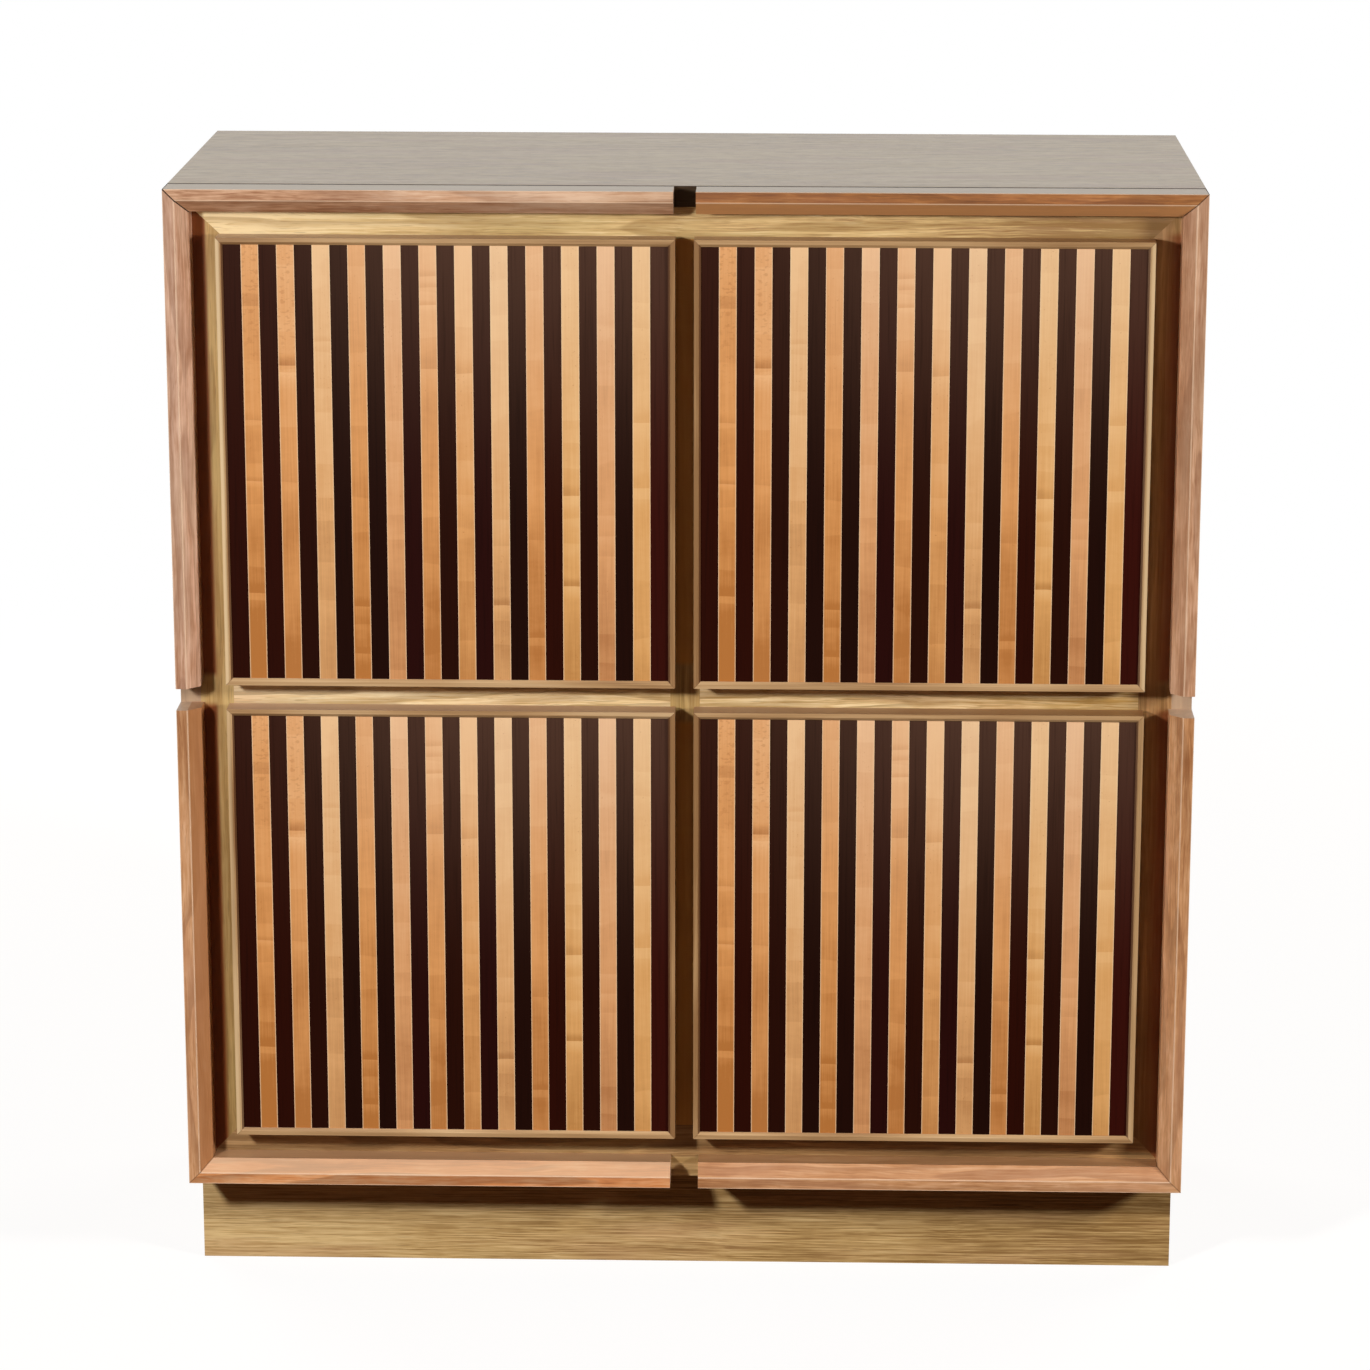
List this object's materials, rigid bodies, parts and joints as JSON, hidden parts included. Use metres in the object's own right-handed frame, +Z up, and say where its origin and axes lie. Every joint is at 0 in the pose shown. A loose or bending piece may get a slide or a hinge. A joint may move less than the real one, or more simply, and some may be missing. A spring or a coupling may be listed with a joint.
{
  "type": "four-door cabinet",
  "caption": "Tall square storage cabinet with striped stave doors, a notched mitred front moulding, inner shelves and a recessed plinth.",
  "frame": {"origin": "on the floor, below the middle of the cabinet's box", "axes": "+X to the right seen from the front, +Y to the back, +Z up"},
  "size_m": [1.1, 0.45, 1.228],
  "materials": {
    "oak": "satin lacquered oak",
    "inner_oak": "satin lacquered oak",
    "walnut": "satin lacquered pinkish walnut",
    "top_lacquer": "satin lacquered oak, greyish",
    "rosewood": "satin lacquered rosewood",
    "maple": "satin lacquered maple",
    "steel": "nickel plated",
    "bumper": "matt"
  },
  "bodies": {
    "cabinet": {"top_panel": "top_lacquer", "bottom_panel": "oak", "left_side_panel": "oak", "right_side_panel": "oak", "back_panel": "inner_oak", "centre_partition": "inner_oak", "left_deck": "inner_oak", "right_deck": "inner_oak", "left_stile": "oak", "right_stile": "oak", "centre_stile": "oak", "top_rail": "oak", "bottom_rail": "oak", "left_mid_rail": "oak", "right_mid_rail": "oak", "top_left_moulding": "walnut", "top_right_moulding": "walnut", "bottom_left_moulding": "walnut", "bottom_right_moulding": "walnut", "upper_left_moulding": "walnut", "upper_right_moulding": "walnut", "lower_left_moulding": "walnut", "lower_right_moulding": "walnut", "plinth_front": "oak", "plinth_back": "oak", "plinth_left": "oak", "plinth_right": "oak", "plinth_blocks": "inner_oak", "shelf_pins": "steel", "hinge_arms": "steel", "hinge_plates": "steel", "hinge_pins": "steel", "hinge_screws": "steel", "door_bumpers": "bumper", "upper_left_shelf": "inner_oak", "upper_right_shelf": "inner_oak", "lower_left_shelf": "inner_oak", "lower_right_shelf": "inner_oak"},
    "upper_left_door": {"upper_left_core": "inner_oak", "upper_left_lipping": "oak", "upper_left_dark_staves": "rosewood", "upper_left_light_staves": "maple", "upper_left_hinge_cups": "steel"},
    "upper_right_door": {"upper_right_core": "inner_oak", "upper_right_lipping": "oak", "upper_right_dark_staves": "rosewood", "upper_right_light_staves": "maple", "upper_right_hinge_cups": "steel"},
    "lower_left_door": {"lower_left_core": "inner_oak", "lower_left_lipping": "oak", "lower_left_dark_staves": "rosewood", "lower_left_light_staves": "maple", "lower_left_hinge_cups": "steel"},
    "lower_right_door": {"lower_right_core": "inner_oak", "lower_right_lipping": "oak", "lower_right_dark_staves": "rosewood", "lower_right_light_staves": "maple", "lower_right_hinge_cups": "steel"}
  },
  "joints": [
    {"name": "upper_left_hinge", "type": "hinge", "parent": "cabinet", "child": "upper_left_door", "pos_m": [-0.486, -0.1995, 0.9315], "axis": [0, 0, -1], "range_deg": [0, 95]},
    {"name": "upper_right_hinge", "type": "hinge", "parent": "cabinet", "child": "upper_right_door", "pos_m": [0.486, -0.1995, 0.9315], "axis": [0, 0, 1], "range_deg": [0, 95]},
    {"name": "lower_left_hinge", "type": "hinge", "parent": "cabinet", "child": "lower_left_door", "pos_m": [-0.486, -0.1995, 0.4155], "axis": [0, 0, -1], "range_deg": [0, 95]},
    {"name": "lower_right_hinge", "type": "hinge", "parent": "cabinet", "child": "lower_right_door", "pos_m": [0.486, -0.1995, 0.4155], "axis": [0, 0, 1], "range_deg": [0, 95]}
  ]
}
